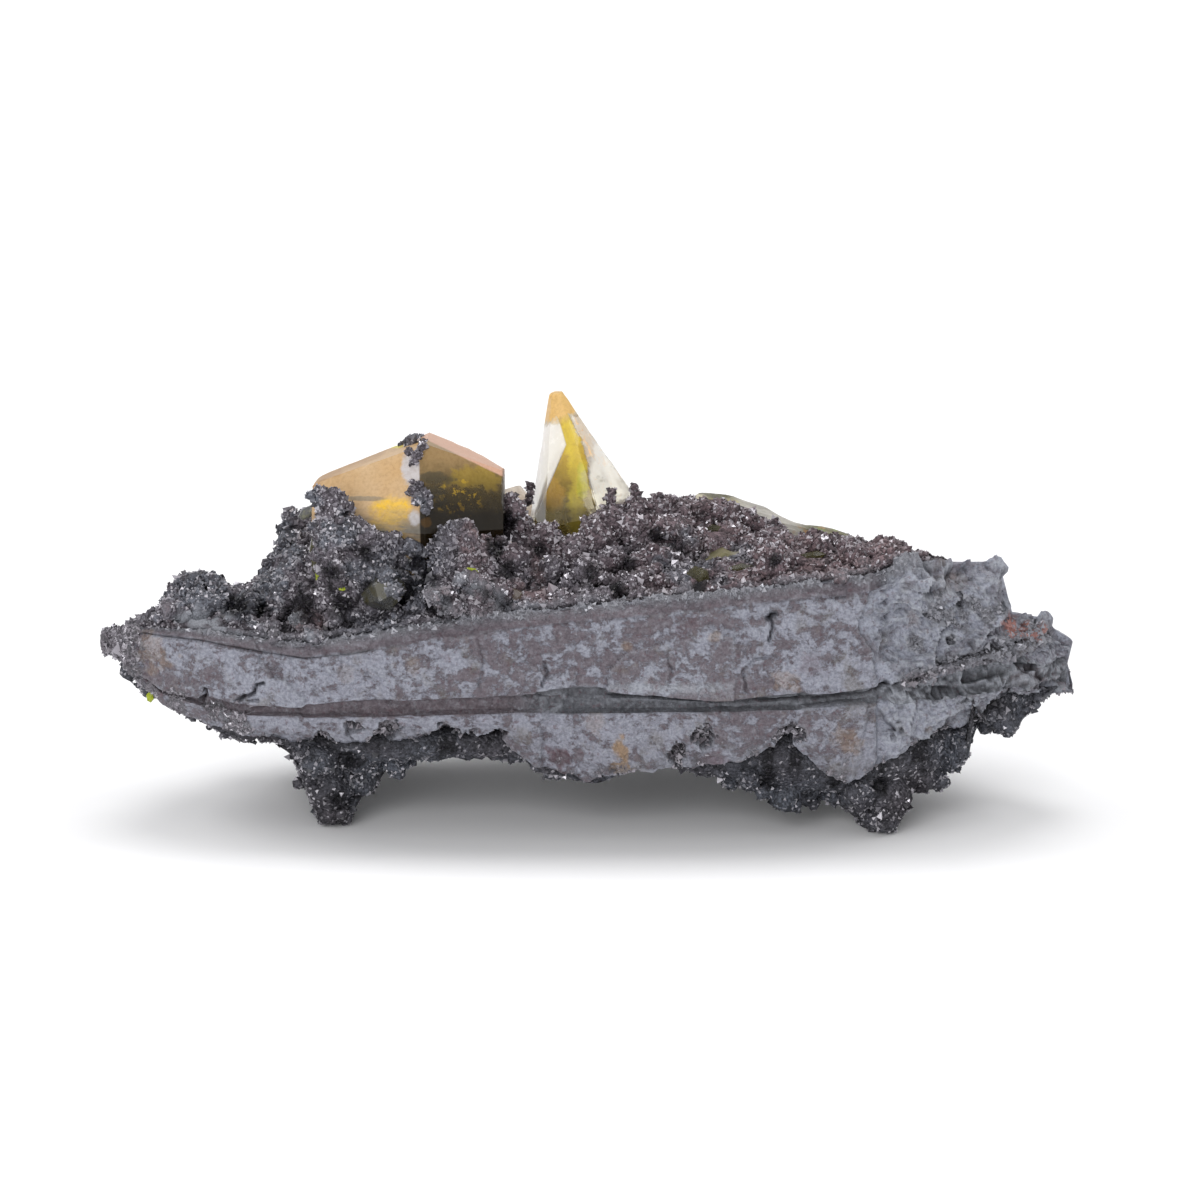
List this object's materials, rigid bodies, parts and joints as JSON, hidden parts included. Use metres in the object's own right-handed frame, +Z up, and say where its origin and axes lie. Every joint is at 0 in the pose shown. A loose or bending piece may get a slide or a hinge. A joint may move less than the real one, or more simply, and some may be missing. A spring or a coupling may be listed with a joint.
{
  "type": "sturmanite crystal specimen",
  "caption": "Amber dipyramid crystals standing in a sparkling drusy crust on a long slab of grey banded rock, resting on knobbly feet of dark crust.",
  "frame": {"origin": "on the surface that the specimen stands on, under the middle of its bounding box", "axes": "+X along the slab towards its blunt end, +Y away from the broken front edge that faces the viewer, +Z up"},
  "size_m": [0.0668, 0.0284, 0.0285],
  "materials": {
    "ironstone": "dull broken rock, banded blue-grey and brown-grey",
    "upper_druse": "sparkling purplish grey micro-crystals",
    "lower_druse": "sparkling charcoal micro-crystals",
    "sturmanite": "translucent amber to olive crystal with frosted orange skins"
  },
  "bodies": {
    "root": {"ironstone_slab": "ironstone", "upper_druse": "upper_druse", "lower_druse": "lower_druse", "crystal_top_druse": "upper_druse", "crystal_edge_druse": "upper_druse", "sturmanite_large": "sturmanite", "sturmanite_spire": "sturmanite", "sturmanite_ridge": "sturmanite", "sturmanite_sunken": "sturmanite", "sturmanite_front_small": "sturmanite", "sturmanite_back_small": "sturmanite"}
  },
  "joints": []
}
